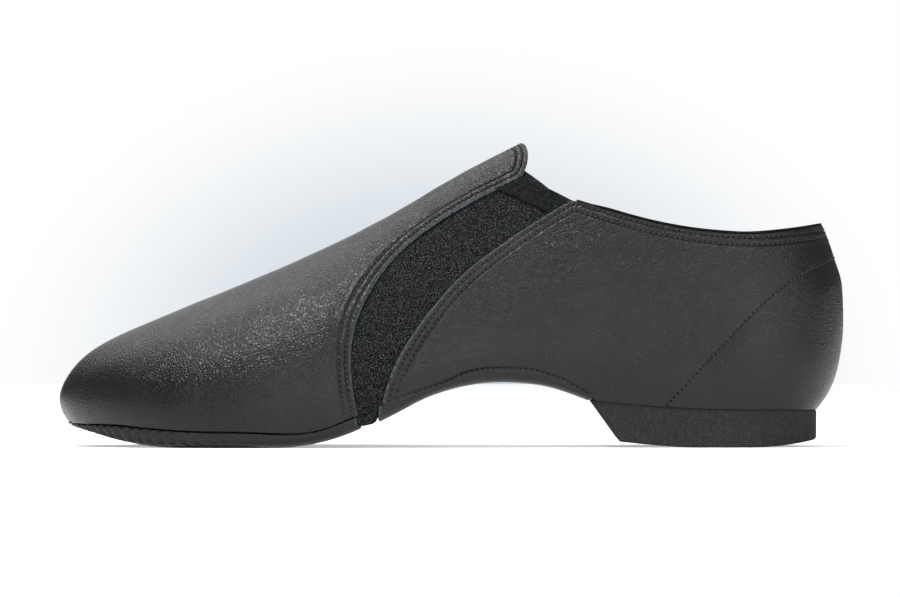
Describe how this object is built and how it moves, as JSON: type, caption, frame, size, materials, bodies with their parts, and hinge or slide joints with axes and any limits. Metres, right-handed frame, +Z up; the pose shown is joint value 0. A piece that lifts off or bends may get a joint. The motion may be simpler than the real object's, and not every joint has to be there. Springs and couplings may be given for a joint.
{
  "type": "slip-on split-sole jazz dance shoe",
  "caption": "Black leather slip-on dance shoe, left foot, with stretch side gores, a split sole, a high open arch and a low slanted heel block.",
  "frame": {"origin": "on the floor, midway along the shoe and midway across it", "axes": "+X towards the heel, -X towards the toe, -Y towards the outer (lateral) side of the left foot, +Z up"},
  "size_m": [0.2499, 0.085, 0.0971],
  "materials": {
    "smooth_leather": "semi-matt aniline calf leather, black, fine grain",
    "sole_suede": "black split suede, napped",
    "stretch_neoprene": "black knitted neoprene, matt with a fine speckle",
    "elastic_hem": "black woven elastic and bias binding, ribbed",
    "cotton_lining": "dark grey brushed cotton drill",
    "leatherboard": "tan bonded leather fibre board",
    "latex_foam": "grey latex foam",
    "microcellular_rubber": "black micro-cellular rubber, cut and buffed",
    "polyester_thread": "black bonded polyester sewing thread"
  },
  "bodies": {
    "rearfoot": {"gore_lateral": "stretch_neoprene", "gore_medial": "stretch_neoprene", "gore_hem_lateral": "elastic_hem", "gore_hem_medial": "elastic_hem", "quarter_lateral": "smooth_leather", "quarter_medial": "smooth_leather", "quarter_lining_lateral": "cotton_lining", "quarter_lining_medial": "cotton_lining", "heel_counter": "leatherboard", "heel_grip": "sole_suede", "topline_binding": "elastic_hem", "arch_wrap": "smooth_leather", "arch_lining": "cotton_lining", "waist_strip": "stretch_neoprene", "heel_block": "microcellular_rubber", "heel_seat_board": "leatherboard", "heel_cushion": "latex_foam", "heel_sock": "cotton_lining", "quarter_thread_outer": "polyester_thread", "quarter_thread_inner": "polyester_thread", "counter_thread": "polyester_thread", "arch_thread_lateral": "polyester_thread", "arch_thread_medial": "polyester_thread"},
    "forefoot": {"vamp": "smooth_leather", "vamp_lining": "cotton_lining", "tongue_facing": "smooth_leather", "forefoot_wrap": "smooth_leather", "forefoot_outsole": "sole_suede", "forefoot_insole": "leatherboard", "forefoot_sock": "latex_foam", "vamp_thread_outer": "polyester_thread", "vamp_thread_inner": "polyester_thread", "sole_seam_thread": "polyester_thread"}
  },
  "joints": [
    {"name": "arch_flex", "type": "hinge", "parent": "rearfoot", "child": "forefoot", "pos_m": [-0.0255, 0, 0.008], "axis": [0, 1, 0], "range_deg": [-18, 8], "stiffness_Nm_per_rad": 3, "deforming": ["gore_lateral", "gore_medial", "gore_hem_lateral", "gore_hem_medial", "waist_strip"]}
  ]
}
